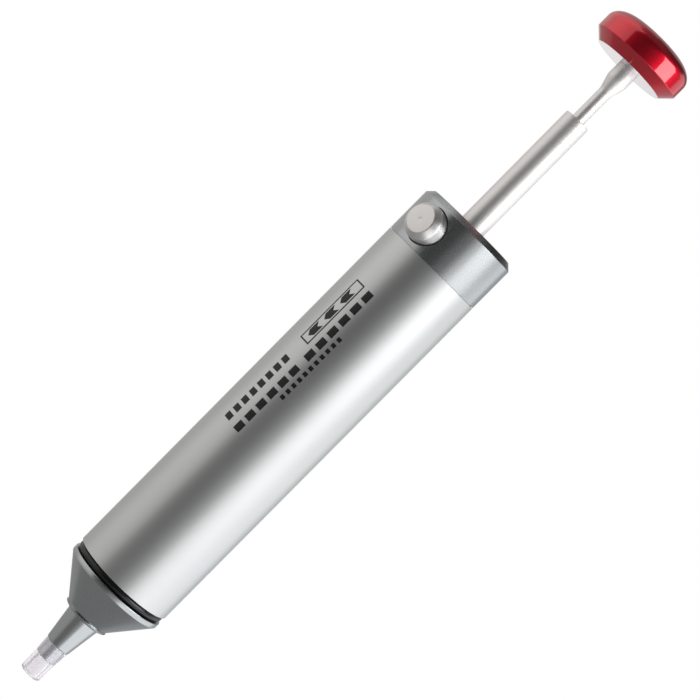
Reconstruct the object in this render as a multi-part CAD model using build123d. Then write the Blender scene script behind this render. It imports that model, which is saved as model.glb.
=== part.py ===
from build123d import *
import os

os.makedirs("parts", exist_ok=True)

# Desoldering pump, released, with its plunger out. Millimetres.
# The pump's axis is Z. The mouth of the silicone tip is at the origin, the knob is at the top,
# and the release button points along -Y.

# Driving dimensions: diameters and lengths
barrel_d = 20.0
barrel_wall = 1.25
cap_h = 9.95
cap_chamfer = 1.1
cap_spigot_h = 7.0
rod_d = 5.0
neck_d = 2.5
shank_d = 4.06
knob_d = 18.15
knob_underside_d = 14.2
button_d = 7.06
button_face_d = 5.24
pipe_od = 3.1
pipe_id = 1.9
tip_free_od = 4.24
tip_free_id = 2.3
tip_stretched_od = 4.76
stem_small_d = 4.92
stem_large_d = 6.84
land_d = 8.9
pin_d = 1.5
spring_wire_d = 1.1
spring_mean_d = 15.3
spring_turns = 13
thread_pitch = 1.0

# Driving dimensions: heights above the mouth of the tip
pipe_end_z = 4.0
stem_z = 7.13
land_z = 13.8
cone_z = 14.35
rim_z = 21.3
rim_top_z = 22.23
barrel_z = 23.7
barrel_top_z = 99.7
button_z = 104.3
shoulder_z = 135.5
neck_top_z = 142.5
shank_z = 144.9
knob_z = 147.8
knob_side_z = 149.7
knob_dome_z = 152.15
knob_top_z = 155.0
piston_front_z = 84.0
piston_rear_z = 91.0
pin_tip_z = 36.5

# Distances of the button's features from the pump's axis, along its own axis
button_face_b = 12.75
button_rim_b = 11.65
button_waist_b = 4.9
button_tail_b = -5.6
button_pocket_b = -4.0
button_bore_end_b = -8.2
button_travel = 1.2

# Fits and edges
running = 0.06
fixed_fit = 0.01
button_clearance = 0.12
edge_break = 0.12
seam_break = 0.26

# Worked out from the above
barrel_r = barrel_d / 2
bore_r = barrel_r - barrel_wall
rod_r = rod_d / 2
cap_top_z = barrel_top_z + cap_h
cap_spigot_z = barrel_top_z - cap_spigot_h


def turned(points):
    """Solid of revolution about Z, from the (radius, height) corners of its section."""
    section = Plane.XZ * make_face(Polyline(*points, close=True))
    return revolve(section, Axis.Z)


def ring(inner_r, outer_r, low_z, high_z):
    """Plain ring about Z, with its outer edges broken."""
    return turned([
        (inner_r, low_z),
        (outer_r - edge_break, low_z),
        (outer_r, low_z + edge_break),
        (outer_r, high_z - edge_break),
        (outer_r - edge_break, high_z),
        (inner_r, high_z),
    ])


def coil(mean_r, wire_r, length, turns):
    """Coil spring along Z that fills the given length from z = 0."""
    height = length - 2 * wire_r
    path = Helix(pitch=height / turns, height=height, radius=mean_r)
    wire_section = Plane(origin=path @ 0, z_dir=path % 0) * Circle(wire_r)
    return Pos(0, 0, wire_r) * sweep(wire_section, path=path, is_frenet=True)


def write(shape, node):
    """Saves one sub-part under its node's name."""
    export_step(shape, f"parts/{node}.step")


# ---- Suction end ----

def silicone_tip():
    """Soft tube: free at the mouth, stretched over the end of the pipe."""
    free_r = tip_free_od / 2
    stretched_r = tip_stretched_od / 2
    over_pipe_r = pipe_od / 2 + 0.02
    mouth_round = 0.35
    step_z = pipe_end_z - 0.05
    top_z = stem_z - 0.05
    tube = turned([
        (tip_free_id / 2, 0),
        (free_r, 0),
        (free_r, step_z - 0.3),
        (free_r + 0.06, step_z + 0.4),
        (stretched_r, top_z),
        (over_pipe_r, top_z),
        (over_pipe_r, step_z),
        (tip_free_id / 2, step_z),
    ])
    outer_edges = tube.edges().filter_by(GeomType.CIRCLE).filter_by(lambda e: e.radius > free_r - 0.01)
    mouth_edge = outer_edges.sort_by(Axis.Z)[0]
    return fillet(mouth_edge, mouth_round)


def nozzle_pipe():
    """Metal suction pipe, fixed in the nose; the silicone tip is pushed over its end."""
    end_break = 0.08
    return turned([
        (pipe_id / 2, pipe_end_z),
        (pipe_od / 2 - end_break, pipe_end_z),
        (pipe_od / 2, pipe_end_z + end_break),
        (pipe_od / 2, chamber_z),
        (pipe_id / 2, chamber_z),
    ])


chamber_z = 17.5
chamber_full_z = 24.5
chamber_r = 7.2
nose_end_z = 30.2
groove_r = 8.3
groove_top_z = barrel_z + 0.3
thread_r = bore_r - 0.05
thread_root_r = thread_r - 0.55
thread_z = 24.9
thread_turns = 4


def nose_thread():
    """Section corners of the screw thread, drawn as rings one pitch apart."""
    corners = []
    for turn in range(thread_turns):
        foot_z = thread_z + turn * thread_pitch
        corners += [
            (thread_root_r, foot_z),
            (thread_r, foot_z + 0.4 * thread_pitch),
            (thread_r, foot_z + 0.55 * thread_pitch),
            (thread_root_r, foot_z + 0.95 * thread_pitch),
        ]
    return corners


def nose_cone():
    """Nose: tapered stem, conical shoulder, seal groove and threaded spigot, with the chamber inside."""
    stem_round = 0.2
    land_round = 0.35
    stem_r = stem_small_d / 2
    land_r = land_d / 2
    thread_end_z = thread_z + thread_turns * thread_pitch
    return turned([
        (pipe_od / 2 + fixed_fit, stem_z),
        (stem_r - stem_round, stem_z),
        (stem_r - 0.3 * stem_round, stem_z + 0.25 * stem_round),
        (stem_r + 0.04, stem_z + stem_round),
        (stem_large_d / 2, land_z),
        (land_r - land_round, land_z),
        (land_r - 0.3 * land_round, land_z + 0.3 * land_round),
        (land_r, land_z + land_round),
        (land_r, cone_z),
        (barrel_r, rim_z),
        (barrel_r, rim_top_z - edge_break),
        (barrel_r - edge_break, rim_top_z),
        (groove_r, rim_top_z),
        (groove_r, groove_top_z),
        (thread_root_r, groove_top_z + 0.2),
        *nose_thread(),
        (thread_root_r, thread_end_z),
        (thread_r, thread_end_z + 0.3),
        (thread_r, nose_end_z - 0.4),
        (thread_r - 0.4, nose_end_z),
        (chamber_r, nose_end_z),
        (chamber_r, chamber_full_z),
        (pipe_od / 2 + fixed_fit, chamber_z),
    ])


def nose_o_ring():
    """Seal that shows as the black line between the nose and the barrel."""
    gap = barrel_z - rim_top_z
    section_r = gap / 2 - 0.01
    return Pos(0, 0, rim_top_z + gap / 2) * Torus(groove_r + 0.03 + section_r, section_r)


spring_seat_h = 0.5


def spring_washer():
    """Steel washer between the nose and the main spring."""
    return ring(6.95, 8.45, nose_end_z, nose_end_z + spring_seat_h)


def main_spring():
    """Compression spring from the nose to the piston."""
    gap = 0.02
    low_z = nose_end_z + spring_seat_h + gap
    length = piston_front_z - gap - low_z
    return Pos(0, 0, low_z) * coil(spring_mean_d / 2, spring_wire_d / 2, length, spring_turns)


# ---- Barrel and cap ----

def barrel():
    """Thin aluminium tube."""
    return turned([
        (bore_r, barrel_z),
        (barrel_r - edge_break, barrel_z),
        (barrel_r, barrel_z + edge_break),
        (barrel_r, barrel_top_z - seam_break),
        (barrel_r - seam_break, barrel_top_z),
        (bore_r, barrel_top_z),
    ])


bush_r = 4.0
bush_top_z = 99.0
cap_hole_r = rod_r + 0.2


def along_button(shape):
    """Turns a shape that is modelled along Z so that it lies on the button's axis."""
    return Pos(0, 0, button_z) * Rot(90, 0, 0) * shape


def rear_cap():
    """Solid end cap with a spigot, the rod's hole and the button's blind cross bore."""
    body = turned([
        (cap_hole_r, bush_top_z),
        (bush_r + fixed_fit, bush_top_z),
        (bush_r + fixed_fit, cap_spigot_z),
        (bore_r - 0.3, cap_spigot_z),
        (bore_r - 0.03, cap_spigot_z + 0.3),
        (bore_r - 0.03, barrel_top_z),
        (barrel_r - seam_break, barrel_top_z),
        (barrel_r, barrel_top_z + seam_break),
        (barrel_r, cap_top_z - cap_chamfer),
        (barrel_r - cap_chamfer, cap_top_z),
        (cap_hole_r, cap_top_z),
    ])
    bore_length = barrel_r + 1 - button_bore_end_b
    cross_bore = Pos(0, 0, button_bore_end_b + bore_length / 2) * Cylinder(button_d / 2 + button_clearance, bore_length)
    return body - along_button(cross_bore)


def rod_bush():
    """Plain bearing that guides the rod in the cap."""
    return ring(rod_r + running, bush_r, cap_spigot_z, bush_top_z)


bumper_h = 1.4


def bumper_washer():
    """Rubber washer that the piston lands on when it is released."""
    return ring(rod_r + 0.4, 7.6, cap_spigot_z - bumper_h, cap_spigot_z)


# ---- Release button ----

def button():
    """Turned button with a waisted stem, whose slot holds the rod's neck when the pump is cocked."""
    head_r = button_d / 2
    body = turned([
        (0, button_tail_b),
        (head_r - edge_break, button_tail_b),
        (head_r, button_tail_b + edge_break),
        (head_r, button_rim_b),
        (button_face_d / 2, button_face_b),
        (0.3, button_face_b),
        (0, button_face_b - 0.15),
    ])
    waist_h = 4.4
    waist_length = button_waist_b - button_tail_b
    flat_h = button_d
    flat = Box(2 * button_d, flat_h, waist_length)
    flat_mid_b = (button_waist_b + button_tail_b) / 2
    for side in (-1, 1):
        body -= Pos(0, side * (waist_h + flat_h) / 2, flat_mid_b) * flat
    slot_r = rod_r + 0.155
    slot = extrude(SlotCenterToCenter(button_travel, 2 * slot_r), waist_h, both=True)
    body -= Pos(0, 0, button_travel / 2) * Rot(0, 90, 0) * Rot(90, 0, 0) * slot
    pocket_length = button_pocket_b - button_tail_b
    body -= Pos(0, 0, button_tail_b + pocket_length / 2) * Cylinder(1.7, pocket_length)
    return along_button(body)


def button_spring():
    """Small coil spring that pushes the button out."""
    gap = 0.03
    length = button_pocket_b - button_bore_end_b - 2 * gap
    spring = Pos(0, 0, button_bore_end_b + gap) * coil(1.3, 0.18, length, 5)
    return along_button(spring)


# ---- Plunger ----

stud_r = 1.75
stud_end_z = 78.8
stud_shoulder_z = 88.0
piston_boss_z = 81.5
piston_r = bore_r - 0.15
seal_z = 87.5
seal_section_r = 0.75
seal_r = bore_r - 0.02 - seal_section_r
knob_stud_r = 1.5
knob_stud_z = 152.0
pin_seat_z = 83.8


def plunger_rod():
    """Rod with a front stud, the latch neck, the flare and the shank that carries the knob."""
    rod = turned([
        (0, stud_end_z),
        (stud_r, stud_end_z),
        (stud_r, stud_shoulder_z),
        (rod_r, stud_shoulder_z),
        (rod_r, shoulder_z - edge_break),
        (rod_r - edge_break, shoulder_z),
        (neck_d / 2, shoulder_z),
        (neck_d / 2, neck_top_z),
        (shank_d / 2, shank_z),
        (shank_d / 2, knob_z),
        (knob_stud_r, knob_z),
        (knob_stud_r, knob_stud_z),
        (0, knob_stud_z),
    ])
    seat_depth = pin_seat_z - stud_end_z
    return rod - Pos(0, 0, stud_end_z + seat_depth / 2) * Cylinder(pin_d / 2 + fixed_fit, seat_depth)


def knob():
    """Round knob with a bevel below and a domed shoulder above."""
    knob_r = knob_d / 2
    crown_r = 4.5
    hole_r = knob_stud_r + fixed_fit
    hole_top_z = knob_stud_z + 0.2
    side = Polyline(
        (crown_r, knob_top_z),
        (0, knob_top_z),
        (0, hole_top_z),
        (hole_r, hole_top_z),
        (hole_r, knob_z),
        (knob_underside_d / 2, knob_z),
        (knob_r, knob_side_z),
        (knob_r, knob_dome_z),
    )
    shoulder = EllipticalCenterArc(
        (crown_r, knob_dome_z), knob_r - crown_r, knob_top_z - knob_dome_z, start_angle=0, arc_size=90
    )
    return revolve(Plane.XZ * make_face(side + shoulder), Axis.Z)


def piston():
    """Piston with a guide boss for the spring and a groove for its seal."""
    groove_half = seal_section_r + 0.2
    groove_floor_r = seal_r - seal_section_r - 0.03
    front_edge = 0.3
    return turned([
        (stud_r + fixed_fit, piston_boss_z),
        (5.9, piston_boss_z),
        (6.3, piston_boss_z + 0.6),
        (6.3, piston_front_z),
        (piston_r - front_edge, piston_front_z),
        (piston_r, piston_front_z + front_edge),
        (piston_r, seal_z - groove_half),
        (groove_floor_r, seal_z - groove_half),
        (groove_floor_r, seal_z + groove_half),
        (piston_r, seal_z + groove_half),
        (piston_r, piston_rear_z - front_edge),
        (piston_r - front_edge, piston_rear_z),
        (rod_r + fixed_fit, piston_rear_z),
        (rod_r + fixed_fit, stud_shoulder_z),
        (stud_r + fixed_fit, stud_shoulder_z),
    ])


def piston_o_ring():
    """Seal of the piston in the barrel."""
    return Pos(0, 0, seal_z) * Torus(seal_r, seal_section_r)


def piston_nut():
    """Hexagon nut that clamps the piston on the rod."""
    across_flats = 6.0
    nut_h = 2.4
    hexagon = RegularPolygon(across_flats / 2, 6, major_radius=False) - Circle(stud_r + fixed_fit)
    return Pos(0, 0, piston_boss_z - nut_h) * extrude(hexagon, nut_h)


def cleaning_pin():
    """Wire pressed into the rod's end, which pushes solder out of the pipe when the pump is cocked."""
    point_r = 0.35
    point_h = 0.8
    return turned([
        (0, pin_tip_z),
        (point_r, pin_tip_z),
        (pin_d / 2, pin_tip_z + point_h),
        (pin_d / 2, pin_seat_z),
        (0, pin_seat_z),
    ])


sub_parts = (
    silicone_tip,
    nozzle_pipe,
    nose_cone,
    nose_o_ring,
    spring_washer,
    main_spring,
    barrel,
    rear_cap,
    rod_bush,
    bumper_washer,
    button,
    button_spring,
    plunger_rod,
    knob,
    piston,
    piston_o_ring,
    piston_nut,
    cleaning_pin,
)

for make_sub_part in sub_parts:
    write(make_sub_part(), make_sub_part.__name__)
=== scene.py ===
import logging
import math
from dataclasses import dataclass
from enum import Enum
from typing import Any, Callable, Dict, List, NamedTuple, Optional, Sequence, Tuple

import bmesh
import bpy
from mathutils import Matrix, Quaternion, Vector


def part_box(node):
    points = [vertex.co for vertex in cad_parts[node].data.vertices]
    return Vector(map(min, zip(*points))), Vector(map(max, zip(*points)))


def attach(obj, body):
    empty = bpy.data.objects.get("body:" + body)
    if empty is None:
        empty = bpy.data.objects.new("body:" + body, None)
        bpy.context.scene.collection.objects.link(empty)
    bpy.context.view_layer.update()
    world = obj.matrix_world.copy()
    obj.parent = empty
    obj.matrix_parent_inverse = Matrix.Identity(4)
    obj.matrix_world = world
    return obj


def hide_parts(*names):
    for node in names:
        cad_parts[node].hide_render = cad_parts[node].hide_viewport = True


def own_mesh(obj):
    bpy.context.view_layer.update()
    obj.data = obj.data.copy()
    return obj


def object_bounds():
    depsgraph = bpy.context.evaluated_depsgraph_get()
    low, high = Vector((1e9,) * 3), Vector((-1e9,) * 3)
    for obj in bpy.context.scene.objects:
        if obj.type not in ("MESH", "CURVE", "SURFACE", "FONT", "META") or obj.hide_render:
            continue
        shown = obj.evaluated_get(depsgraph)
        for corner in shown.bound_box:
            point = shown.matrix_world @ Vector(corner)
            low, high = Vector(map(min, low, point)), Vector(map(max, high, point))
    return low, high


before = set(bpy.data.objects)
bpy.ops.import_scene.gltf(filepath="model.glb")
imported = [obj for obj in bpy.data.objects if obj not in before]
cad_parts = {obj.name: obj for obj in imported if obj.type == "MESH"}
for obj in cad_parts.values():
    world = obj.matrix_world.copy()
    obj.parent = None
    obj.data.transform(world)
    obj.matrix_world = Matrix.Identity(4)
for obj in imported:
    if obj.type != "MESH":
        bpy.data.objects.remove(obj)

CAD_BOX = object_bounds()
MM = 0.001               # one millimetre, in the frame's metres
STEPS = 192              # sides of the large rings
LOG = logging.getLogger("desoldering_pump")

Colour = Tuple[float, float, float, float]
Socket = bpy.types.NodeSocket


# ------------------------------------------------------------------ shader nodes

def linear(hex_code: str) -> Colour:
    """Turns an sRGB hex colour into a linear one.

    Args:
        hex_code: Six hex digits, such as "d0d2d2".

    Returns:
        Linear red, green and blue, with alpha 1.
    """
    shares = [int(hex_code[i:i + 2], 16) / 255 for i in (0, 2, 4)]
    red, green, blue = (s / 12.92 if s <= 0.04045 else ((s + 0.055) / 1.055) ** 2.4 for s in shares)
    return (red, green, blue, 1.0)


def shaded(hex_code: str, share: float) -> Colour:
    """Turns an sRGB hex colour into a linear one that keeps only a share of its light."""
    red, green, blue, alpha = linear(hex_code)
    return (red * share, green * share, blue * share, alpha)


def add_node(tree: bpy.types.NodeTree, kind: str, inputs: Optional[Dict[Any, Any]] = None,
             **settings: Any) -> bpy.types.Node:
    """Adds one shader node.

    Args:
        tree: The node tree that gets the node.
        kind: The node's Blender type.
        inputs: Values for the node's sockets, or output sockets to link to them.
        **settings: Values for the node's own properties.

    Returns:
        The new node.
    """
    node = tree.nodes.new(kind)
    for name, value in settings.items():
        setattr(node, name, value)
    for name, value in (inputs or {}).items():
        if isinstance(value, bpy.types.NodeSocket):
            tree.links.new(value, node.inputs[name])
        else:
            node.inputs[name].default_value = value
    return node


def empty_tree(owner: Any) -> bpy.types.NodeTree:
    """Empties the node tree of a material or a world.

    Args:
        owner: The material or world.

    Returns:
        Its node tree, with nothing in it.
    """
    owner.use_nodes = True
    owner.node_tree.nodes.clear()
    return owner.node_tree


def maths(tree: bpy.types.NodeTree, operation: str, *values: Any) -> Socket:
    """Adds one maths node on numbers or sockets, and returns its result."""
    return add_node(tree, "ShaderNodeMath", dict(enumerate(values)), operation=operation).outputs[0]


def object_place(tree: bpy.types.NodeTree) -> Socket:
    """Adds the place of the shaded point in the frame, in metres."""
    return add_node(tree, "ShaderNodeTexCoord").outputs["Object"]


def noise(tree: bpy.types.NodeTree, place: Socket, size_mm: float, detail: float,
          roughness: float = 0.5) -> Socket:
    """Adds a cloudy pattern from 0 to 1.

    Args:
        tree: The node tree that gets the pattern.
        place: Where the pattern is looked up.
        size_mm: The size of its lumps.
        detail: How many finer patterns lie on it.
        roughness: How strong the finer patterns are.

    Returns:
        A socket with the pattern.
    """
    return add_node(tree, "ShaderNodeTexNoise", {
        "Vector": place, "Scale": 1 / (size_mm * MM), "Detail": detail, "Roughness": roughness,
    }).outputs["Fac"]


def relief(tree: bpy.types.NodeTree, pattern: Socket, strength: float, depth_mm: float) -> Socket:
    """Adds a bump that follows a pattern, and returns the normal."""
    return add_node(tree, "ShaderNodeBump", {
        "Height": pattern, "Strength": strength, "Distance": depth_mm * MM,
    }).outputs[0]


def seen_directly(tree: bpy.types.NodeTree) -> Socket:
    """Adds a test for rays that come from the camera, straight or through clear material.

    Args:
        tree: The node tree that gets the test.

    Returns:
        A socket that is 1 for such rays and 0 for reflected ones.
    """
    path = add_node(tree, "ShaderNodeLightPath").outputs
    bounces = maths(tree, "ADD", path["Glossy Depth"], path["Diffuse Depth"])
    unreflected = maths(tree, "LESS_THAN", bounces, 0.5)
    camera_or_clear = maths(tree, "MAXIMUM", path["Is Camera Ray"], path["Is Transmission Ray"])
    return maths(tree, "MULTIPLY", unreflected, camera_or_clear)


# ------------------------------------------------------------------ finishes

class Axis(Enum):
    """The axis that a piece was turned about, so that its tool marks go round it."""

    PUMP = "the pump's long axis"
    BUTTON = "the release button's axis"


def turning_marks(tree: bpy.types.NodeTree, axis: Axis, pitch_mm: float) -> Socket:
    """Adds the rings that a lathe tool leaves, uneven as real ones are.

    Args:
        tree: The node tree that gets the rings.
        axis: What the rings go round.
        pitch_mm: The distance from ring to ring.

    Returns:
        A socket with the rings' height, from 0 to 1.
    """
    x, y, z = add_node(tree, "ShaderNodeSeparateXYZ", {"Vector": object_place(tree)}).outputs
    across, along = (y, z)
    if axis is Axis.BUTTON:
        low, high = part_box("button")
        across = maths(tree, "SUBTRACT", z, (low.z + high.z) / 2)
        along = y
    square = maths(tree, "MULTIPLY_ADD", across, across, maths(tree, "MULTIPLY", x, x))
    ring = add_node(tree, "ShaderNodeCombineXYZ", {"X": maths(tree, "SQRT", square), "Y": along}).outputs[0]
    return noise(tree, ring, pitch_mm, detail=3.0, roughness=0.6)


def around(tree: bpy.types.NodeTree, pattern: Socket, middle: float, swing: float) -> Socket:
    """Spreads a pattern from 0 to 1 evenly round a middle value."""
    return add_node(tree, "ShaderNodeMapRange", {
        "Value": pattern, "To Min": middle - swing, "To Max": middle + swing,
    }).outputs[0]


def blend_colours(tree: bpy.types.NodeTree, pattern: Socket, first: Colour, second: Colour) -> Socket:
    """Mixes two colours by a pattern from 0 to 1."""
    mix = add_node(tree, "ShaderNodeMix", {"Factor": pattern, 6: first, 7: second}, data_type="RGBA")
    return mix.outputs[2]


@dataclass(frozen=True)
class Finish:
    """What every finish has: the name of the real material and a colour."""

    name: str
    colour: str

    def shader(self, tree: bpy.types.NodeTree) -> Socket:
        """Adds the finish's shader nodes and returns the last one's output."""
        raise NotImplementedError

    def tones(self, tree: bpy.types.NodeTree, pattern: Socket, darkest: float) -> Socket:
        """Varies the finish's colour by a pattern, down to a share of its light."""
        return blend_colours(tree, pattern, linear(self.colour), shaded(self.colour, darkest))

    def material(self) -> bpy.types.Material:
        """Builds the Blender material the first time it is asked for.

        Returns:
            The material, named for the real one.
        """
        material = bpy.data.materials.get(self.name)
        if material is None:
            material = bpy.data.materials.new(self.name)
            tree = empty_tree(material)
            add_node(tree, "ShaderNodeOutputMaterial", {"Surface": self.shader(tree)})
        return material


@dataclass(frozen=True)
class BlastedAnodised(Finish):
    """Anodised aluminium, bead blasted first: a soft metal sheen with a fine even grain."""

    roughness: float = 0.35
    unevenness: float = 0.015
    grain_mm: float = 0.12
    grain_depth_mm: float = 0.004
    cloud_mm: float = 12.0
    cloud_tone: float = 0.94

    def shader(self, tree: bpy.types.NodeTree) -> Socket:
        """Adds a rough metal with a blasted grain and a very slight cloudiness.

        Args:
            tree: The material's node tree.

        Returns:
            The shader's output.
        """
        place = object_place(tree)
        grain = noise(tree, place, self.grain_mm, detail=2.0, roughness=0.55)
        cloud = noise(tree, place, self.cloud_mm, detail=1.0)
        return add_node(tree, "ShaderNodeBsdfPrincipled", {
            "Base Color": self.tones(tree, cloud, self.cloud_tone),
            "Metallic": 1.0,
            "Roughness": around(tree, grain, self.roughness, self.unevenness),
            "Normal": relief(tree, grain, 0.4, self.grain_depth_mm),
        }).outputs[0]


@dataclass(frozen=True)
class TurnedMetal(Finish):
    """Bare metal as the lathe left it: bright, with fine rings that streak its highlights."""

    roughness: float = 0.3
    pitch_mm: float = 0.12
    depth_mm: float = 0.002
    axis: Axis = Axis.PUMP
    contrast: float = 0.1
    stretch: float = 0.0
    swing: float = 0.15

    def shader(self, tree: bpy.types.NodeTree) -> Socket:
        """Adds a metal whose colour, roughness and bump all follow the rings.

        Args:
            tree: The material's node tree.

        Returns:
            The shader's output.
        """
        rings = turning_marks(tree, self.axis, self.pitch_mm)
        about = "Y" if self.axis is Axis.BUTTON else "Z"
        return add_node(tree, "ShaderNodeBsdfPrincipled", {
            "Base Color": self.tones(tree, rings, 1 - self.contrast),
            "Metallic": 1.0,
            "Roughness": around(tree, rings, self.roughness, self.roughness * self.swing),
            "Normal": relief(tree, rings, 0.6, self.depth_mm),
            "Anisotropic": self.stretch,
            "Tangent": add_node(tree, "ShaderNodeTangent", direction_type="RADIAL", axis=about).outputs[0],
        }).outputs[0]


@dataclass(frozen=True)
class DyedAnodised(Finish):
    """Polished aluminium, dyed and sealed: deep metallic colour under a clear glossy oxide skin.

    The underside was faced after dyeing, so it is bare metal there.
    """

    roughness: float = 0.42
    unevenness: float = 0.02
    coat_roughness: float = 0.04
    coat_ior: float = 1.65
    pitch_mm: float = 0.12
    depth_mm: float = 0.001
    bare: str = "efe6e8"
    bare_roughness: float = 0.22
    bare_height_mm: float = 0.03

    def shader(self, tree: bpy.types.NodeTree) -> Socket:
        """Adds the coated metal, and bare metal below the height of the knob's underside.

        Args:
            tree: The material's node tree.

        Returns:
            The shader's output.
        """
        rings = turning_marks(tree, Axis.PUMP, self.pitch_mm)
        marks = relief(tree, rings, 0.3, self.depth_mm)
        dyed = add_node(tree, "ShaderNodeBsdfPrincipled", {
            "Base Color": linear(self.colour),
            "Metallic": 1.0,
            "Roughness": around(tree, rings, self.roughness, self.unevenness),
            "Normal": marks,
            "Coat Weight": 1.0,
            "Coat Roughness": self.coat_roughness,
            "Coat IOR": self.coat_ior,
        })
        faced = add_node(tree, "ShaderNodeBsdfPrincipled", {
            "Base Color": blend_colours(tree, rings, linear(self.bare), shaded(self.bare, 0.9)),
            "Metallic": 1.0,
            "Roughness": self.bare_roughness,
            "Normal": marks,
        })
        height = add_node(tree, "ShaderNodeSeparateXYZ", {"Vector": object_place(tree)}).outputs["Z"]
        above = maths(tree, "GREATER_THAN", height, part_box("knob")[0].z + self.bare_height_mm * MM)
        return add_node(tree, "ShaderNodeMixShader", {
            0: above, 1: faced.outputs[0], 2: dyed.outputs[0],
        }).outputs[0]


@dataclass(frozen=True)
class Moulded(Finish):
    """Rubber or plastic straight from a mould: a dull skin with a slight orange peel."""

    roughness: float = 0.4
    unevenness: float = 0.05
    peel_mm: float = 0.3
    peel_depth_mm: float = 0.01
    peel_tone: float = 0.85
    ior: float = 1.52

    def shader(self, tree: bpy.types.NodeTree) -> Socket:
        """Adds a plain dielectric with a peel in its roughness, tone and bump.

        Args:
            tree: The material's node tree.

        Returns:
            The shader's output.
        """
        peel = noise(tree, object_place(tree), self.peel_mm, detail=2.0)
        return add_node(tree, "ShaderNodeBsdfPrincipled", {
            "Base Color": self.tones(tree, peel, self.peel_tone),
            "Roughness": around(tree, peel, self.roughness, self.unevenness),
            "Normal": relief(tree, peel, 0.3, self.peel_depth_mm),
            "IOR": self.ior,
        }).outputs[0]


@dataclass(frozen=True)
class ExtrudedSilicone(Finish):
    """Clear silicone rubber, extruded: soft see-through walls with a little milk in them.

    The milk is a faint light of its own, in place of the light that scatters inside the rubber.
    """

    roughness: float = 0.17
    unevenness: float = 0.02
    milk: float = 0.12
    glow: float = 0.06
    glow_swing: float = 0.15
    streak_mm: float = 0.35
    streak_squeeze: float = 0.05
    streak_tone: float = 0.97
    ior: float = 1.41

    def shader(self, tree: bpy.types.NodeTree) -> Socket:
        """Adds refracting rubber with faint streaks along the tube, mixed with a milky scatter and a painted
        glow.

        Args:
            tree: The material's node tree.

        Returns:
            The shader's output.
        """
        drawn = add_node(tree, "ShaderNodeMapping", {
            "Vector": object_place(tree), "Scale": (1.0, 1.0, self.streak_squeeze),
        }).outputs[0]
        streaks = noise(tree, drawn, self.streak_mm, detail=1.0)
        return add_node(tree, "ShaderNodeBsdfPrincipled", {
            "Base Color": self.tones(tree, streaks, self.streak_tone),
            "Roughness": around(tree, streaks, self.roughness, self.unevenness),
            "IOR": self.ior,
            "Transmission Weight": 1 - self.milk,
            # Painted glow: a faint light in the rubber's own colour, standing in for the light that scatters
            # inside it.
            "Emission Color": linear(self.colour),
            "Emission Strength": around(tree, streaks, self.glow, self.glow * self.glow_swing),
        }).outputs[0]


# The barrel: a pale satin that spreads the studio into broad soft bands, with no clear reflection.
SATIN_SILVER = BlastedAnodised("blasted_silver_anodised_aluminium", "d5d6d6", roughness=0.41)

# The nose and cap: a darker, cooler grey with tighter bands, so that they read as harder than the barrel.
HARD_GREY = BlastedAnodised("blasted_grey_anodised_aluminium", "babdbe", roughness=0.275,
                            grain_depth_mm=0.0004)

# The knob: a deep red that glows from under a glossy skin with crisp highlights, and a bare bright underside.
RED_DYED = DyedAnodised("red_dyed_anodised_aluminium", "df1830")

# The rod: a near-white metal with hardly any marks, brighter and smoother than all that is round it.
BRIGHT_ROD = TurnedMetal("polished_nickel_plated_steel", "f8f5f4", roughness=0.49, depth_mm=0.0008,
                         contrast=0.03)

# The button: coarse bright and dark rings on its face and cone, with highlights drawn out across them.
BARE_TURNED = TurnedMetal("turned_aluminium", "fffcfa", roughness=0.40, pitch_mm=0.4, depth_mm=0.06,
                          axis=Axis.BUTTON, contrast=0.34, stretch=0.6)

# The pipe, pin, nut and washer: a slightly blue steel with clear narrow highlights.
DRAWN_STEEL = TurnedMetal("drawn_stainless_steel", "d5d6dc", roughness=0.25, pitch_mm=0.2)

# Both springs: a greyer, duller steel than the pipe, as if under a film of oil.
SPRING_STEEL = TurnedMetal("oiled_spring_steel", "9a9a9c", roughness=0.32, pitch_mm=0.3)

# The seals and the bumper: a black with one soft highlight, the darkest thing on the pump.
NITRILE = Moulded("nitrile_rubber", "0c0b0e", roughness=0.3)

# The rod's bush: a warm white plastic with a faint waxy sheen.
WHITE_ACETAL = Moulded("white_acetal", "e6e5e0", roughness=0.42)

# The piston: a black plastic, a little greyer and flatter than the rubber seal on it.
BLACK_ACETAL = Moulded("black_acetal", "161617", roughness=0.4)

# The print: a flat black film that stops the barrel's bands and shows hardly any highlight.
BLACK_INK = Moulded("screen_printed_black_ink", "131315", roughness=0.45, peel_mm=0.15,
                    peel_depth_mm=0.002)

# The tip: see-through walls with bright edges and a little milk, so that the pipe shows inside.
CLEAR_SILICONE = ExtrudedSilicone("clear_silicone_rubber", "f3f0f3")


# ------------------------------------------------------------------ modelling, all by operators

class Corner(NamedTuple):
    """One corner of a turned outline, in millimetres, with the radius that rounds it."""

    radius: float
    height: float
    round: float = 0.0


class Place(NamedTuple):
    """Where a turned CAD node lies at rest, in millimetres."""

    low: float
    high: float
    radius: float

    @classmethod
    def of(cls, node: str) -> "Place":
        """Reads a turned node's place along the pump's axis, and its radius."""
        low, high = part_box(node)
        return cls(low.z / MM, high.z / MM, high.x / MM)


def select(piece: bpy.types.Object, wanted: Callable[[Vector], bool]) -> None:
    """Selects a mesh's vertices in edit mode by their place, and what they enclose.

    Args:
        piece: The object in edit mode.
        wanted: Says whether a vertex at this place is selected.
    """
    mesh = bmesh.from_edit_mesh(piece.data)
    bpy.context.tool_settings.mesh_select_mode = (True, False, False)
    mesh.select_mode = {"VERT"}
    for part in (mesh.faces, mesh.edges, mesh.verts):
        for item in part:
            item.select = False
    for vertex in mesh.verts:
        vertex.select = wanted(vertex.co)
    mesh.select_flush_mode()
    bmesh.update_edit_mesh(piece.data)


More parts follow.
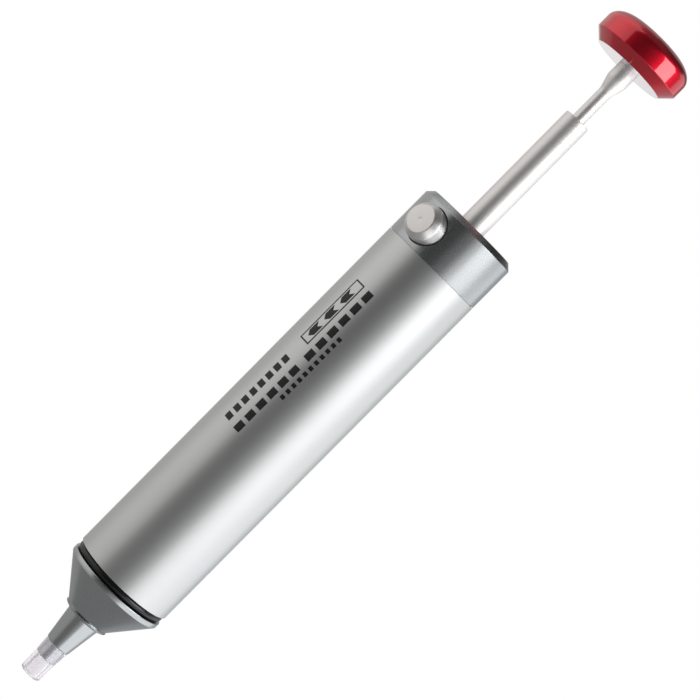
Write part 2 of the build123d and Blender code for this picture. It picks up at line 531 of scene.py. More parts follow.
def on_ring(corner: Corner) -> Callable[[Vector], bool]:
    """Makes a test for the vertices of the ring that a corner was turned into.

    Args:
        corner: The corner of the outline.

    Returns:
        A function that says whether a place is on the ring, within two thousandths of a millimetre.
    """
    slack = 2e-3 * MM

    def wanted(place: Vector) -> bool:
        """Says whether the vertex lies on the ring."""
        radius = math.hypot(place.x, place.y)
        return abs(radius - corner.radius * MM) < slack and abs(place.z - corner.height * MM) < slack

    return wanted


def start(name: str, add: Callable[..., Any], **sizes: Any) -> bpy.types.Object:
    """Adds a primitive with nothing else selected, and goes into edit mode.

    Args:
        name: The new piece's name.
        add: The operator that adds the primitive.
        **sizes: What the operator is given.

    Returns:
        The new object.
    """
    bpy.ops.object.select_all(action="DESELECT")
    add(**sizes)
    piece = bpy.context.object
    piece.name = name
    piece.data.name = name
    bpy.ops.object.mode_set(mode="EDIT")
    return piece


def lathe(name: str, corners: Sequence[Corner], bored: bool, steps: int = STEPS) -> bpy.types.Object:
    """Turns an outline about Z: a circle is extruded from corner to corner, and closed.

    Args:
        name: The new piece's name.
        corners: The outline, from its first corner round to its last, anticlockwise with +Z up.
        bored: Whether the last corner joins the first, as round a bore. If not, both ends are flat discs.
        steps: How many sides each ring has.

    Returns:
        The new object, in object mode, with its rounded corners bevelled.
    """
    first = corners[0]
    piece = start(name, bpy.ops.mesh.primitive_circle_add, vertices=steps, radius=first.radius * MM)
    bpy.ops.mesh.select_all(action="SELECT")
    bpy.ops.transform.translate(value=(0, 0, first.height * MM))
    for last, corner in zip(corners, corners[1:]):
        bpy.ops.mesh.extrude_edges_move()
        share = corner.radius / last.radius
        bpy.ops.transform.resize(value=(share, share, 1), center_override=(0, 0, 0))
        bpy.ops.transform.translate(value=(0, 0, (corner.height - last.height) * MM))
    if bored:
        first_ring, last_ring = on_ring(first), on_ring(corners[-1])
        select(piece, lambda place: first_ring(place) or last_ring(place))
        bpy.ops.mesh.bridge_edge_loops()
    else:
        for end in (first, corners[-1]):
            select(piece, on_ring(end))
            bpy.ops.mesh.edge_face_add()
    bpy.ops.mesh.select_all(action="SELECT")
    bpy.ops.mesh.normals_make_consistent(inside=False)
    for corner in corners:
        if corner.round > 0:
            select(piece, on_ring(corner))
            bpy.ops.mesh.bevel(offset=corner.round * MM, segments=4, affect="EDGES", clamp_overlap=True)
    bpy.ops.object.mode_set(mode="OBJECT")
    return piece


def apply_modifier(piece: bpy.types.Object, kind: str, **settings: Any) -> None:
    """Adds a modifier to a piece and applies it.

    Args:
        piece: The object that is changed.
        kind: The modifier's Blender type.
        **settings: Values for the modifier's properties.
    """
    bpy.ops.object.select_all(action="DESELECT")
    piece.select_set(True)
    bpy.context.view_layer.objects.active = piece
    modifier = piece.modifiers.new(kind.lower(), kind)
    for name, value in settings.items():
        setattr(modifier, name, value)
    bpy.ops.object.modifier_apply(modifier=modifier.name)


def cut(piece: bpy.types.Object, *tools: bpy.types.Object) -> None:
    """Cuts other objects out of a piece, and removes them.

    Args:
        piece: The object that is cut.
        *tools: The solids that are taken away.
    """
    for tool in tools:
        apply_modifier(piece, "BOOLEAN", operation="DIFFERENCE", solver="EXACT", object=tool)
        bpy.data.objects.remove(tool)


def close_up(piece: bpy.types.Object) -> None:
    """Fills the open ends of a piece and turns all its faces outward.

    Args:
        piece: The active object, in object mode.
    """
    bpy.ops.object.mode_set(mode="EDIT")
    bpy.ops.mesh.select_all(action="SELECT")
    bpy.ops.mesh.fill_holes(sides=0)
    bpy.ops.mesh.select_all(action="SELECT")
    bpy.ops.mesh.normals_make_consistent(inside=False)
    bpy.ops.object.mode_set(mode="OBJECT")


def settle(piece: bpy.types.Object) -> None:
    """Puts a piece's place, turn and size into its mesh, so that its own origin is the frame's.

    Args:
        piece: The object, in object mode.
    """
    bpy.ops.object.select_all(action="DESELECT")
    piece.select_set(True)
    bpy.context.view_layer.objects.active = piece
    bpy.ops.object.transform_apply(location=True, rotation=True, scale=True)


def slab(size: Sequence[float], at: Sequence[float]) -> bpy.types.Object:
    """Makes a plain box to cut with.

    Args:
        size: Its size along each axis, in millimetres.
        at: Its middle, in millimetres.

    Returns:
        The box.
    """
    box = start("cutting_box", bpy.ops.mesh.primitive_cube_add, size=1.0, location=[v * MM for v in at])
    bpy.ops.object.mode_set(mode="OBJECT")
    box.scale = [v * MM for v in size]
    settle(box)
    return box


def drill(radius: float, length: float, at: Sequence[float]) -> bpy.types.Object:
    """Makes a round bar along Y to cut with.

    Args:
        radius: Its radius, in millimetres.
        length: Its length, in millimetres.
        at: Its middle, in millimetres.

    Returns:
        The bar.
    """
    bar = start("cutting_bar", bpy.ops.mesh.primitive_cylinder_add, vertices=96, radius=radius * MM,
                depth=length * MM, location=[v * MM for v in at], rotation=(math.pi / 2, 0, 0))
    bpy.ops.object.mode_set(mode="OBJECT")
    settle(bar)
    return bar


def join(pieces: Sequence[bpy.types.Object], name: str) -> bpy.types.Object:
    """Joins objects into one.

    Args:
        pieces: The objects, of which the first takes in the others.
        name: The joined object's name.

    Returns:
        The joined object.
    """
    bpy.ops.object.select_all(action="DESELECT")
    for piece in pieces:
        piece.select_set(True)
    bpy.context.view_layer.objects.active = pieces[0]
    bpy.ops.object.join()
    pieces[0].name = name
    pieces[0].data.name = name
    return pieces[0]


def finish_piece(piece: bpy.types.Object, finish: Finish, body: str,
                 stands_for: Sequence[str] = (), crease: float = 32.0) -> None:
    """Smooths a piece, dresses it and fixes it to its body.

    Args:
        piece: The finished mesh object.
        finish: Its surface finish.
        body: The body that it rides on.
        stands_for: The CAD nodes that it replaces.
        crease: The angle in degrees past which an edge stays sharp.
    """
    settle(piece)
    bpy.ops.object.shade_smooth_by_angle(angle=math.radians(crease))
    apply_modifier(piece, "WEIGHTED_NORMAL", mode="FACE_AREA", weight=50, keep_sharp=True)
    dress(piece, finish)
    if stands_for:
        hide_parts(*stands_for)
    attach(piece, body)
    LOG.info("%s: %d faces, %s, on %s", piece.name, len(piece.data.polygons), finish.name, body)


def dress(piece: bpy.types.Object, finish: Finish) -> None:
    """Gives the whole of a piece one finish."""
    piece.data.materials.clear()
    piece.data.materials.append(finish.material())


def coil(name: str, mean_radius: float, wire_radius: float, low: float, high: float, turns: float,
         dead_turns: float, sides: int = 14, steps: int = 48) -> bpy.types.Object:
    """Winds a compression spring along Z, with dead turns that close its ends.

    Args:
        name: The new piece's name.
        mean_radius: From the axis to the middle of the wire, in millimetres.
        wire_radius: The wire's radius, in millimetres.
        low: The height of the lower end, in millimetres.
        high: The height of the upper end, in millimetres.
        turns: How many turns there are in all.
        dead_turns: How many of them lie on each other at each end.
        sides: How many sides the wire has.
        steps: How many steps each turn has.

    Returns:
        The new object, in object mode.
    """
    piece = start(name, bpy.ops.mesh.primitive_circle_add, vertices=sides, radius=wire_radius * MM,
                  location=(mean_radius * MM, 0, 0), rotation=(math.pi / 2, 0, 0))
    bpy.ops.object.mode_set(mode="OBJECT")
    settle(piece)
    # The coil is first wound evenly and wide apart, so that a vertex's height tells which turn it is on.
    # Then each vertex moves to its real height, close together in the dead turns and even between them.
    lead = 4 * wire_radius
    apply_modifier(piece, "SCREW", angle=math.tau, iterations=round(turns), screw_offset=lead * MM,
                   steps=steps, render_steps=steps, use_merge_vertices=False)
    dead_lead = 2 * wire_radius * 1.03
    free_turns = turns - 2 * dead_turns
    length = high - low - 2 * wire_radius
    free_lead = (length - 2 * dead_turns * dead_lead) / free_turns
    for vertex in piece.data.vertices:
        x, y, z = vertex.co
        turned = math.atan2(y, x) / math.tau
        wound = round(z / MM / lead - turned) + turned
        wound = min(max(wound, 0.0), turns)
        rise = dead_lead * min(wound, dead_turns)
        rise += free_lead * min(max(wound - dead_turns, 0.0), free_turns)
        rise += dead_lead * max(wound - dead_turns - free_turns, 0.0)
        vertex.co.z = z - wound * lead * MM + (low + wire_radius + rise) * MM
    close_up(piece)
    return piece


# ------------------------------------------------------------------ suction end

@dataclass
class SuctionEnd:
    """The metal pipe and the soft clear tip that is pushed over its end."""

    pipe_radius: float = 1.55
    pipe_bore: float = 0.95
    pipe_break: float = 0.12
    tip_bore: float = 1.15
    mouth_radius: float = 2.08
    mouth_round: float = 0.35
    free_radius: float = 2.12
    step_radius: float = 2.18
    stretched_radius: float = 2.38
    grip: float = 0.04
    top_round: float = 0.1

    def build(self) -> None:
        """Makes both pieces."""
        self.make_pipe()
        self.make_tip()

    def make_pipe(self) -> None:
        """Turns the pipe, with its end broken inside and outside."""
        place = Place.of("nozzle_pipe")
        pipe = lathe("suction_pipe", [
            Corner(self.pipe_bore, place.low, self.pipe_break / 2),
            Corner(self.pipe_radius, place.low, self.pipe_break),
            Corner(self.pipe_radius, place.high, self.pipe_break),
            Corner(self.pipe_bore, place.high),
        ], bored=True, steps=96)
        finish_piece(pipe, DRAWN_STEEL, "nose", ["nozzle_pipe"])

    def make_tip(self) -> None:
        """Turns the tip. Its bore grips the pipe a little, so that no air shows between them."""
        place = Place.of("silicone_tip")
        pipe_end = Place.of("nozzle_pipe").low
        grip_radius = self.pipe_radius - self.grip
        tip = lathe("clear_silicone_tip", [
            Corner(self.tip_bore, place.low, 0.1),
            Corner(self.mouth_radius, place.low, self.mouth_round),
            Corner(self.free_radius, pipe_end - 0.5, 0.4),
            Corner(self.step_radius, pipe_end + 0.35, 0.3),
            Corner(self.stretched_radius, place.high, self.top_round),
            Corner(grip_radius, place.high),
            Corner(grip_radius, pipe_end + self.grip),
            Corner(self.tip_bore, pipe_end - 0.1, 0.05),
        ], bored=True, steps=96)
        finish_piece(tip, CLEAR_SILICONE, "tip", ["silicone_tip"], crease=60)


# ------------------------------------------------------------------ nose

@dataclass
class Nose:
    """The screwed nose and the seal under it. Heights are above the nose's lower end.

    The thread's foot is a share of its pitch, and its crest a share of its foot.
    """

    stem_low_radius: float = 2.46
    stem_high_radius: float = 3.42
    stem_break: float = 0.14
    flange_low: float = 6.69
    flange_lip: float = 0.45
    flange_high: float = 7.22
    flange_radius: float = 4.62
    cone_foot: float = 4.4
    rim_low: float = 14.17
    rim_high: float = 15.10
    rim_radius: float = 10.0
    rim_break: float = 0.1
    groove_radius: float = 8.3
    root_radius: float = 8.15
    root_low: float = 16.87
    thread_radius: float = 8.69
    thread_low: float = 17.9
    thread_pitch: float = 1.0
    thread_turns: int = 4
    thread_foot: float = 0.9
    thread_crest: float = 0.18
    thread_sunk: float = 0.1
    land_low: float = 22.3
    chamber_radius: float = 7.2
    chamber_low: float = 10.37
    chamber_full: float = 17.37
    pipe_radius: float = 1.55
    seal_section: float = 0.725
    seal_flash: float = 0.03

    def build(self) -> None:
        """Makes the nose with its thread, and the seal."""
        self.make_nose()
        self.make_seal()

    def make_nose(self) -> None:
        """Turns the nose, and adds the screw thread to its spigot."""
        place = Place.of("nose_cone")
        base = place.low
        body = lathe("nose_turned", [
            Corner(self.pipe_radius, base),
            Corner(self.stem_low_radius, base, self.stem_break),
            Corner(self.stem_high_radius, base + self.flange_low, 0.12),
            Corner(self.flange_radius - self.flange_lip, base + self.flange_low + 0.05, 0.05),
            Corner(self.flange_radius, base + self.flange_low + 0.3, 0.16),
            Corner(self.flange_radius, base + self.flange_high - 0.12, 0.03),
            Corner(self.cone_foot, base + self.flange_high, 0.02),
            Corner(self.rim_radius, base + self.rim_low, 0.05),
            Corner(self.rim_radius, base + self.rim_high, self.rim_break),
            Corner(self.groove_radius, base + self.rim_high),
            Corner(self.groove_radius, base + self.root_low, 0.05),
            Corner(self.root_radius, base + self.root_low + 0.2),
            Corner(self.root_radius, base + self.land_low - 0.3),
            Corner(self.thread_radius, base + self.land_low, 0.05),
            Corner(self.thread_radius, place.high, 0.35),
            Corner(self.chamber_radius, place.high, 0.1),
            Corner(self.chamber_radius, base + self.chamber_full, 0.5),
            Corner(self.pipe_radius, base + self.chamber_low),
        ], bored=True)
        nose = join([body, self.thread(base)], "threaded_nose")
        finish_piece(nose, HARD_GREY, "nose", ["nose_cone"])

    def thread(self, base: float) -> bpy.types.Object:
        """Winds the thread's ridge round the spigot.

        Args:
            base: The height of the nose's lower end.

        Returns:
            The ridge, whose foot is sunk in the spigot.
        """
        depth = self.thread_radius - self.root_radius + self.thread_sunk
        ridge = start("nose_thread", bpy.ops.mesh.primitive_plane_add, size=1.0, rotation=(math.pi / 2, 0, 0))
        bpy.ops.object.mode_set(mode="OBJECT")
        settle(ridge)
        bpy.ops.object.mode_set(mode="EDIT")
        bpy.ops.mesh.select_all(action="SELECT")
        foot = self.thread_foot * self.thread_pitch
        bpy.ops.transform.resize(value=(depth * MM, 1, foot * MM), center_override=(0, 0, 0))
        select(ridge, lambda spot: spot.x > 0)
        bpy.ops.transform.resize(value=(1, 1, self.thread_crest), center_override=(0, 0, 0))
        bpy.ops.mesh.select_all(action="SELECT")
        bpy.ops.transform.translate(value=(
            (self.thread_radius - depth / 2) * MM, 0, (base + self.thread_low) * MM,
        ))
        bpy.ops.mesh.delete(type="ONLY_FACE")
        bpy.ops.object.mode_set(mode="OBJECT")
        apply_modifier(ridge, "SCREW", angle=math.tau, iterations=self.thread_turns,
                       screw_offset=self.thread_pitch * MM, steps=96, render_steps=96)
        close_up(ridge)
        return ridge

    def make_seal(self) -> None:
        """Makes the seal ring, with the fine flash line that its mould leaves round the outside."""
        place = Place.of("nose_o_ring")
        middle = (place.low + place.high) / 2
        outside = place.radius - self.seal_flash
        seal = start("nose_seal_ring", bpy.ops.mesh.primitive_torus_add,
                     major_segments=STEPS, major_radius=(outside - self.seal_section) * MM,
                     minor_segments=28, minor_radius=self.seal_section * MM)
        bpy.ops.mesh.select_all(action="SELECT")
        bpy.ops.transform.translate(value=(0, 0, middle * MM))
        select(seal, on_ring(Corner(outside, middle)))
        bpy.ops.mesh.bevel(offset=0.05 * MM, segments=2, affect="EDGES")
        select(seal, on_ring(Corner(outside, middle)))
        share = place.radius / outside
        bpy.ops.transform.resize(value=(share, share, 1), center_override=(0, 0, middle * MM))
        bpy.ops.object.mode_set(mode="OBJECT")
        finish_piece(seal, NITRILE, "nose_seal", ["nose_o_ring"], crease=60)


# ------------------------------------------------------------------ barrel and cap

class PrintedRow(NamedTuple):
    """One row of the print: equal plain blocks of ink laid along the barrel, in millimetres."""

    start: float
    length: float
    width: float
    bearing: float
    count: int
    gap: float = 0.42


@dataclass
class Housing:
    """The barrel with its print, and the rear cap with the holes for the rod and the button."""

    bore: float = 8.75
    edge: float = 0.07
    chamfer: float = 1.1
    seam_depth: float = 0.3
    seam_width: float = 0.09
    spigot_radius: float = 8.72
    bush_radius: float = 4.01
    bush_top: float = 99.0
    rod_hole: float = 2.7
    button_clearance: float = 0.21
    spring_clearance: float = 0.03
    ink: float = 0.012
    frame_bearing: float = -8.3
    frame_start: float = 75.6
    frame_length: float = 13.9
    frame_width: float = 2.75
    frame_line: float = 0.28
    rows: Tuple[PrintedRow, ...] = (
        PrintedRow(56.9, 14.9, 1.7, -8.3, 8, 0.7),
        PrintedRow(56.7, 15.1, 1.55, 9.2, 6, 0.8),
        PrintedRow(73.7, 15.8, 1.55, 9.2, 6, 0.8),
        PrintedRow(66.0, 14.4, 0.9, 19.8, 11, 0.62),
    )

    def build(self) -> None:
        """Makes the barrel, its print and the cap."""
        barrel = self.make_barrel()
        self.make_print(barrel)
        self.make_cap()

    def make_barrel(self) -> bpy.types.Object:
        """Turns the barrel.

        Returns:
            The barrel, for the ink to be laid on.
        """
        place = Place.of("barrel")
        barrel = lathe("satin_barrel", [
            Corner(self.bore, place.low, self.edge),
            Corner(place.radius, place.low, self.edge),
            Corner(place.radius, place.high, self.edge / 2),
            Corner(self.bore, place.high, self.edge),
        ], bored=True)
        finish_piece(barrel, SATIN_SILVER, "housing", ["barrel"])
        return barrel

    def make_cap(self) -> None:
        """Turns the cap, and bores it across for the button."""
        barrel_top = Place.of("barrel").high
        place = Place.of("rear_cap")
        cap = lathe("rear_end_cap", [
            Corner(self.rod_hole, self.bush_top),
            Corner(self.bush_radius, self.bush_top),
            Corner(self.bush_radius, place.low),
            Corner(self.spigot_radius, place.low, 0.3),
            Corner(self.spigot_radius, barrel_top),
            Corner(place.radius - self.seam_depth, barrel_top),
            Corner(place.radius - self.seam_depth, barrel_top + self.seam_width),
            Corner(place.radius, barrel_top + self.seam_width, 0.03),
            Corner(place.radius, place.high - self.chamfer, 0.04),
            Corner(place.radius - self.chamfer, place.high, 0.05),
            Corner(self.rod_hole, place.high, 0.15),
        ], bored=True, steps=256)
        low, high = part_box("button")
        hole_radius = (high.x - low.x) / 2 / MM + self.button_clearance
        blind_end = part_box("button_spring")[1].y / MM + self.spring_clearance
        outside = -place.radius - 1
        middle = (0, (blind_end + outside) / 2, (low.z + high.z) / 2 / MM)
        cut(cap, drill(hole_radius, blind_end - outside, middle))
        finish_piece(cap, HARD_GREY, "housing", ["rear_cap"])

    def make_print(self, barrel: bpy.types.Object) -> None:
        """Prints plain blocks and a framed row of arrowheads that point to the tip.

        Args:
            barrel: The piece that the ink is laid on.
        """
        blocks = [block for row in self.rows for block in self.blocks(row)]
        pieces = blocks + [self.frame_outline()] + self.arrowheads()
        for piece in pieces:
            apply_modifier(piece, "SHRINKWRAP", target=barrel, wrap_method="NEAREST_SURFACEPOINT",
                           wrap_mode="ABOVE_SURFACE", offset=self.ink * MM)
            apply_modifier(piece, "SOLIDIFY", thickness=self.ink * MM, offset=-1.0)
        ink = join(pieces, "barrel_print")
        close_up(ink)
        finish_piece(ink, BLACK_INK, "housing")

    def sheet(self, name: str, first: float, length: float, width: float, bearing: float,
              columns: int, rows: int) -> bpy.types.Object:
        """Adds a flat patch just outside the barrel, ready to be shaped in edit mode.

        Args:
            name: The patch's name.
            first: The height where it begins.
            length: Its length along the barrel.
            width: Its width round the barrel.
            bearing: Where it lies round the barrel, in degrees from the button.
            columns: How many faces it has across.
            rows: How many faces it has along.

        Returns:
            The patch, in object mode, with its place in its mesh.
        """
        turn = math.radians(bearing)
        stand_off = (self.bore + 2) * MM
        middle = (math.sin(turn) * stand_off, -math.cos(turn) * stand_off, (first + length / 2) * MM)
        patch = start(name, bpy.ops.mesh.primitive_grid_add, x_subdivisions=columns, y_subdivisions=rows,
                      size=1.0, rotation=(math.pi / 2, 0, turn), location=middle)
        bpy.ops.object.mode_set(mode="OBJECT")
        patch.scale = (width * MM, length * MM, 1)
        settle(patch)
        return patch

    def blocks(self, row: PrintedRow) -> List[bpy.types.Object]:
        """Lays one row of plain blocks of ink."""
        length = (row.length - row.gap * (row.count - 1)) / row.count
        return [
            self.sheet("print_block", row.start + index * (length + row.gap), length, row.width, row.bearing,
                       columns=8, rows=2)
            for index in range(row.count)
        ]

    def frame_outline(self) -> bpy.types.Object:
        """Lays the thin frame round the arrowheads.

        Returns:
            The frame's line, as a flat ring of faces.
        """
        outline = self.sheet("print_frame", self.frame_start, self.frame_length, self.frame_width,
                             self.frame_bearing, 1, 1)
        bpy.ops.object.mode_set(mode="EDIT")
        bpy.ops.mesh.select_all(action="SELECT")
        bpy.ops.mesh.inset(thickness=self.frame_line * MM)
        bpy.ops.mesh.delete(type="FACE")
        bpy.ops.mesh.select_all(action="SELECT")
        bpy.ops.mesh.subdivide(number_cuts=7)
        bpy.ops.object.mode_set(mode="OBJECT")
        return outline

    def arrowheads(self, count: int = 3, length: float = 2.2, width: float = 1.7) -> List[bpy.types.Object]:
        """Lays a row of arrowheads in the frame.

        Args:
            count: How many there are.
            length: The length of each.
            width: The width of each.

        Returns:
            The arrowheads.
        """
        turn = math.radians(self.frame_bearing)
        across = Vector((math.cos(turn), math.sin(turn), 0))
        pitch = self.frame_length / (count + 0.6)
        heads = []
        for index in range(count):
            first = self.frame_start + pitch * (index + 0.8) - length / 2
            head = self.sheet("print_arrowhead", first, length, width, self.frame_bearing, 8, 2)
            for vertex in head.data.vertices:
                lean = 1 - abs(vertex.co.dot(across)) / (width * MM / 2)
                vertex.co.z -= 0.5 * width * MM * lean
            heads.append(head)
        return heads


# ------------------------------------------------------------------ release button

@dataclass
class ReleaseButton:
    """The turned button, modelled upright about Z and then laid along -Y, and the spring behind it."""

    radius: float = 3.53
    face_radius: float = 2.62
    rim: float = 11.65
    waist: float = 4.9
    waist_height: float = 4.4
    slot_radius: float = 2.655
    travel: float = 1.2
    pocket_radius: float = 1.7
    pocket_bottom: float = -4.0
    pip_radius: float = 0.36
    pip_depth: float = 0.06
    spring_radius: float = 1.3
    spring_wire: float = 0.18

    def build(self) -> None:
        """Makes the button and its spring."""
        self.make_button()
        self.make_spring()

    def make_button(self) -> None:
        """Turns the button, then cuts its waist and its slot."""
        low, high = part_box("button")
        face, tail = -low.y / MM, -high.y / MM
        button = lathe("turned_button", [
            Corner(self.pocket_radius, self.pocket_bottom),
            Corner(self.pocket_radius, tail, 0.08),
            Corner(self.radius, tail, 0.12),
            Corner(self.radius, self.rim, 0.14),
            Corner(self.face_radius, face, 0.12),
            Corner(self.pip_radius, face, 0.02),
            Corner(self.pip_radius / 4, face - self.pip_depth),
        ], bored=False, steps=128)
        span = 4 * self.radius
        middle = (self.waist + tail) / 2
        reach = (self.waist_height + self.radius) / 2
        flats = [
            slab((span, self.radius, self.waist - tail), (0, side * reach, middle))
            for side in (-1, 1)
        ]
        slot_ends = [drill(self.slot_radius, span, (0, 0, shift)) for shift in (0.0, self.travel)]
        slot_middle = slab((2 * self.slot_radius, span, self.travel), (0, 0, self.travel / 2))
        cut(button, *flats, *slot_ends, slot_middle)
        self.lay_down(button)
        finish_piece(button, BARE_TURNED, "button", ["button"])

    def lay_down(self, piece: bpy.types.Object) -> None:
        """Turns a piece from the pump's axis to the button's.

        Args:
            piece: The object, modelled upright about Z.
        """
        low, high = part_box("button")
        piece.rotation_euler = (math.pi / 2, 0, 0)
        piece.location = (0, 0, (low.z + high.z) / 2)
        settle(piece)

    def make_spring(self) -> None:
        """Winds the button's spring."""
        low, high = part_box("button_spring")
        spring = coil("button_return_spring", self.spring_radius, self.spring_wire, -high.y / MM, -low.y / MM,
                      turns=6, dead_turns=1, sides=10, steps=32)
        self.lay_down(spring)
        finish_piece(spring, SPRING_STEEL, "housing", ["button_spring"], crease=60)
        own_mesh(spring)


# ------------------------------------------------------------------ plunger

@dataclass
class Plunger:
    """The rod with its latch neck and flare, and the red knob. Heights are above the pump's mouth."""

    rod_radius: float = 2.5
    stud_radius: float = 1.75
    stud_shoulder: float = 88.0
    shoulder: float = 135.5
    neck_radius: float = 1.25
    neck_top: float = 142.35
    shank_radius: float = 2.03
    shank_low: float = 144.95
    knob_stud: float = 1.5
    underside_radius: float = 7.1
    side_low: float = 149.7
    side_high: float = 152.15
    crown_radius: float = 4.5
    dome_steps: int = 14
    pin_radius: float = 0.76
    pin_depth: float = 5.0

    def build(self) -> None:
        """Makes the rod and the knob."""
        self.make_rod()
        self.make_knob()

    def make_rod(self) -> None:
        """Turns the rod, with the hole for the cleaning pin in its front end."""
        place = Place.of("plunger_rod")
        knob = Place.of("knob")
        rod = lathe("latch_rod", [
            Corner(self.pin_radius, place.low + self.pin_depth),
            Corner(self.pin_radius, place.low),
            Corner(self.stud_radius, place.low, 0.15),
            Corner(self.stud_radius, self.stud_shoulder),
            Corner(self.rod_radius, self.stud_shoulder, 0.1),
            Corner(self.rod_radius, self.shoulder, 0.14),
            Corner(self.neck_radius, self.shoulder, 0.08),
            Corner(self.neck_radius, self.neck_top, 0.35),
            Corner(self.shank_radius, self.shank_low, 0.35),
            Corner(self.shank_radius, knob.low, 0.04),
            Corner(self.knob_stud, knob.low),
            Corner(self.knob_stud, place.high, 0.1),
        ], bored=False, steps=128)
        finish_piece(rod, BRIGHT_ROD, "plunger", ["plunger_rod"])

    def make_knob(self) -> None:
        """Turns the knob: a bare faced underside, a bevel, a straight side and a domed shoulder."""
        place = Place.of("knob")
        hole_radius = self.knob_stud + 0.01
        hole_top = Place.of("plunger_rod").high + 0.2
        dome = []
        for step in range(1, self.dome_steps + 1):
            turn = math.pi / 2 * step / self.dome_steps
            dome.append(Corner(
                self.crown_radius + (place.radius - self.crown_radius) * math.cos(turn),
                self.side_high + (place.high - self.side_high) * math.sin(turn),
            ))
        knob = lathe("red_knob", [
            Corner(hole_radius, hole_top),
            Corner(hole_radius, place.low, 0.1),
            Corner(self.underside_radius, place.low, 0.03),
            Corner(place.radius, self.side_low, 0.08),
            Corner(place.radius, self.side_high),
            *dome,
        ], bored=False, steps=256)
        finish_piece(knob, RED_DYED, "plunger", ["knob"])


# ------------------------------------------------------------------ inside

@dataclass
class Inside:
    """The main spring, and the finishes of the pieces that keep their CAD shape."""

    mean_radius: float = 7.65
    wire_radius: float = 0.55
    turns: int = 13
    stroke: float = 35.0
    gap: float = 0.02

    def build(self) -> None:
        """Makes the spring and dresses the rest."""
        self.make_spring()
        self.dress_nodes()

    def make_spring(self) -> None:
        """Winds the main spring."""
        low = Place.of("spring_washer").high + self.gap
        high = Place.of("main_spring").high
        spring = coil("plunger_drive_spring", self.mean_radius, self.wire_radius, low, high, self.turns, 1.5)
        finish_piece(spring, SPRING_STEEL, "housing", ["main_spring"], crease=60)
        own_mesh(spring)

    def dress_nodes(self) -> None:
        """Gives each inner CAD node its finish."""
        for node, finish in {
            "spring_washer": DRAWN_STEEL,
            "rod_bush": WHITE_ACETAL,
            "bumper_washer": NITRILE,
            "piston": BLACK_ACETAL,
            "piston_o_ring": NITRILE,
            "piston_nut": DRAWN_STEEL,
            "cleaning_pin": DRAWN_STEEL,
        }.items():
            dress(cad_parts[node], finish)
            LOG.info("%s: %s", node, finish.name)


# ------------------------------------------------------------------ studio

NEUTRAL = (1.0, 1.0, 1.0)           # plain softbox white
WARM = (1.0, 0.985, 0.965)          # the left side, a touch creamier
COOL = (0.965, 0.98, 1.0)           # the right side, a touch bluer


@dataclass(frozen=True)
class Panel:
    """One soft panel of the studio, by where it is seen from the pump, in degrees.

    Azimuth is 0 at the camera and grows to the camera's right. Elevation is above the horizon.
    """

    left: float
    right: float
    low: float
    high: float
    blur: float
    radiance: float
    tint: Tuple[float, float, float] = NEUTRAL

    def light(self, tree: bpy.types.NodeTree, azimuth: Socket, elevation: Socket) -> Socket:
        """Adds the panel's light.

        Args:
            tree: The world's node tree.
            azimuth: A socket with the azimuth, in radians.
            elevation: A socket with the elevation, in radians.

        Returns:
            A socket with the panel's radiance in that direction.
        """
        product: Any = self.radiance
        for angle, first, last in ((azimuth, self.left, self.right), (elevation, self.low, self.high)):
            for edge, far in ((first, 0.0), (last, 1.0)):
                rise = add_node(tree, "ShaderNodeMapRange", {
                    "Value": angle, "To Min": far, "To Max": 1.0 - far,
                    "From Min": math.radians(edge - self.blur), "From Max": math.radians(edge + self.blur),
                }, interpolation_type="SMOOTHSTEP").outputs[0]
                product = maths(tree, "MULTIPLY", rise, product)
        return add_node(tree, "ShaderNodeVectorMath", {0: self.tint, "Scale": product},
                        operation="SCALE").outputs[0]


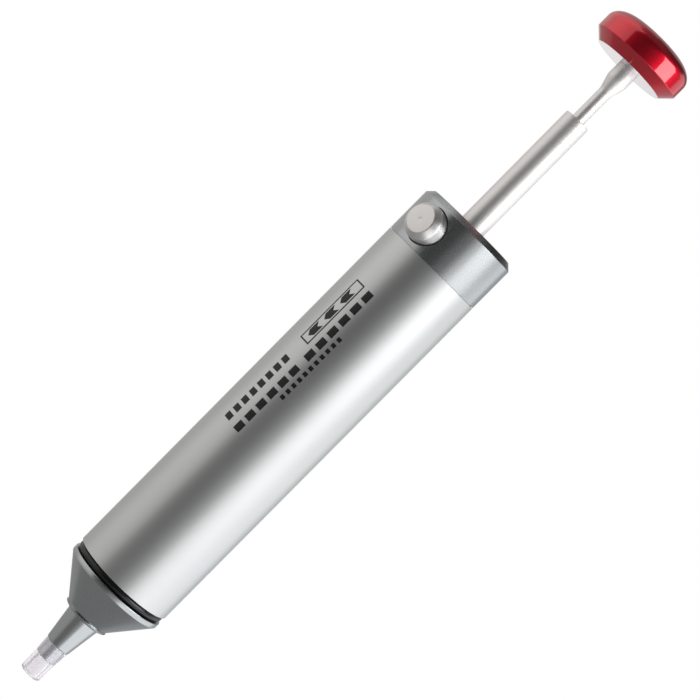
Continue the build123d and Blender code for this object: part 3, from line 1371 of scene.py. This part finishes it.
@dataclass
class Studio:
    """White sweep, soft panels and the camera. Angles are in degrees and lengths in millimetres."""

    camera_azimuth: float = 34.3
    stand_off: float = 415.0
    camera_rise: float = 17.8
    aim_share: float = 0.5142
    lens_mm: float = 123.1
    roll: float = 44.76
    floor_drop: float = 20.0
    floor_size: float = 3000.0
    fill: float = 0.035
    panels: Tuple[Panel, ...] = (
        Panel(-112, -49, -12, 66, 1.5, 0.75, WARM),
        Panel(-145, -112, 4, 66, 5, 0.62, WARM),
        Panel(-145, -112, -12, 4, 5, 0.50, WARM),
        Panel(-100, -72, -12, 66, 12, 0.10, WARM),
        Panel(-200, -145, -12, 22, 6, 0.50, WARM),
        Panel(-200, -145, 22, 60, 8, 0.35, WARM),
        Panel(-145, -48, -45, -12, 5, 0.40, WARM),
        Panel(-200, -145, -45, -12, 5, 0.33, WARM),
        Panel(-48, 0, -60, -6, 6, 0.17),
        Panel(0, 26, -45, 0, 4, 0.36),
        Panel(26, 43, -45, 1, 4, 1.45),
        Panel(43, 84, 6, 38, 1.2, 4.2),
        Panel(43, 84, -16, 6, 3, 1.10, COOL),
        Panel(84, 135, -16, 4, 4, 1.26, COOL),
        Panel(110, 145, 4, 32, 5, 0.75, COOL),
        Panel(135, 160, -16, 4, 6, 0.50, COOL),
        Panel(43, 120, -45, -16, 6, 1.40, COOL),
        Panel(120, 200, -45, -16, 6, 0.40, COOL),
        Panel(160, 200, -16, 50, 6, 0.35, COOL),
        Panel(165, 200, -18, 4, 5, 0.55),
        Panel(-200, -165, -18, 4, 5, 0.50),
        Panel(-200, 200, -100, -45, 6, 0.22),
        Panel(-200, 200, 66, 100, 6, 0.09),
    )

    def build(self) -> None:
        """Makes the camera, the world and the floor."""
        self.make_camera()
        self.make_world()
        self.make_floor()
        bpy.context.scene.view_settings.view_transform = "Standard"
        LOG.info("studio: %d panels", len(self.panels))

    def make_camera(self) -> None:
        """Stands the camera a little above the pump's middle, rolled so that the knob is upper right."""
        low, high = CAD_BOX
        aim = Vector((0, 0, low.z + self.aim_share * (high.z - low.z)))
        turn = math.radians(self.camera_azimuth)
        towards = Vector((math.sin(turn), -math.cos(turn), 0))
        data = bpy.data.cameras.new("camera")
        data.lens = self.lens_mm
        data.sensor_width = 36.0
        data.clip_start = 0.01
        camera = bpy.data.objects.new("camera", data)
        bpy.context.scene.collection.objects.link(camera)
        camera.location = aim + towards * self.stand_off * MM + Vector((0, 0, self.camera_rise * MM))
        look = (aim - camera.location).to_track_quat("-Z", "Y")
        camera.rotation_mode = "QUATERNION"
        camera.rotation_quaternion = look @ Quaternion((0, 0, 1), math.radians(self.roll))
        bpy.context.scene.camera = camera

    def make_world(self) -> None:
        """Paints the panels round the pump, and plain white behind it."""
        world = bpy.data.worlds.new("studio")
        bpy.context.scene.world = world
        tree = empty_tree(world)
        direction = add_node(tree, "ShaderNodeTexCoord").outputs["Generated"]
        turned = add_node(tree, "ShaderNodeVectorRotate", {
            "Vector": direction, "Angle": -math.radians(self.camera_azimuth),
        }, rotation_type="Z_AXIS").outputs[0]
        x, y, z = add_node(tree, "ShaderNodeSeparateXYZ", {"Vector": turned}).outputs
        azimuth = maths(tree, "ARCTAN2", x, maths(tree, "MULTIPLY", y, -1.0))
        elevation = maths(tree, "ARCSINE", z)
        total: Any = (self.fill, self.fill, self.fill)
        for panel in self.panels:
            light = panel.light(tree, azimuth, elevation)
            total = add_node(tree, "ShaderNodeVectorMath", {0: light, 1: total}, operation="ADD").outputs[0]
        studio = add_node(tree, "ShaderNodeBackground", {"Color": total, "Strength": 1.0})
        white = add_node(tree, "ShaderNodeBackground", {"Color": (1, 1, 1, 1), "Strength": 1.0})
        mixed = add_node(tree, "ShaderNodeMixShader", {
            0: seen_directly(tree), 1: studio.outputs[0], 2: white.outputs[0],
        })
        add_node(tree, "ShaderNodeOutputWorld", {"Surface": mixed.outputs[0]})

    def make_floor(self) -> None:
        """Lays a plain white floor below the pump, clear of the tip when the nose is unscrewed.

        It is lit evenly to the eye, and lets the studio's own light through to the metal.
        """
        low, _ = CAD_BOX
        bpy.ops.object.select_all(action="DESELECT")
        bpy.ops.mesh.primitive_plane_add(size=self.floor_size * MM,
                                         location=(0, 0, low.z - self.floor_drop * MM))
        floor = bpy.context.object
        floor.name = "floor"
        material = bpy.data.materials.new("white_floor")
        tree = empty_tree(material)
        white = add_node(tree, "ShaderNodeEmission", {"Color": (1, 1, 1, 1), "Strength": 1.0})
        clear = add_node(tree, "ShaderNodeBsdfTransparent")
        mixed = add_node(tree, "ShaderNodeMixShader", {
            0: seen_directly(tree), 1: clear.outputs[0], 2: white.outputs[0],
        })
        add_node(tree, "ShaderNodeOutputMaterial", {"Surface": mixed.outputs[0]})
        floor.data.materials.append(material)


# ------------------------------------------------------------------ the whole pump

def main() -> None:
    """Builds the pump's sub-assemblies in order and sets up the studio."""
    logging.basicConfig(level=logging.INFO, format="%(name)s %(message)s")
    for assembly in (Studio(), SuctionEnd(), Nose(), Housing(), ReleaseButton(), Plunger(), Inside()):
        assembly.build()


if __name__ == "__main__":
    main()
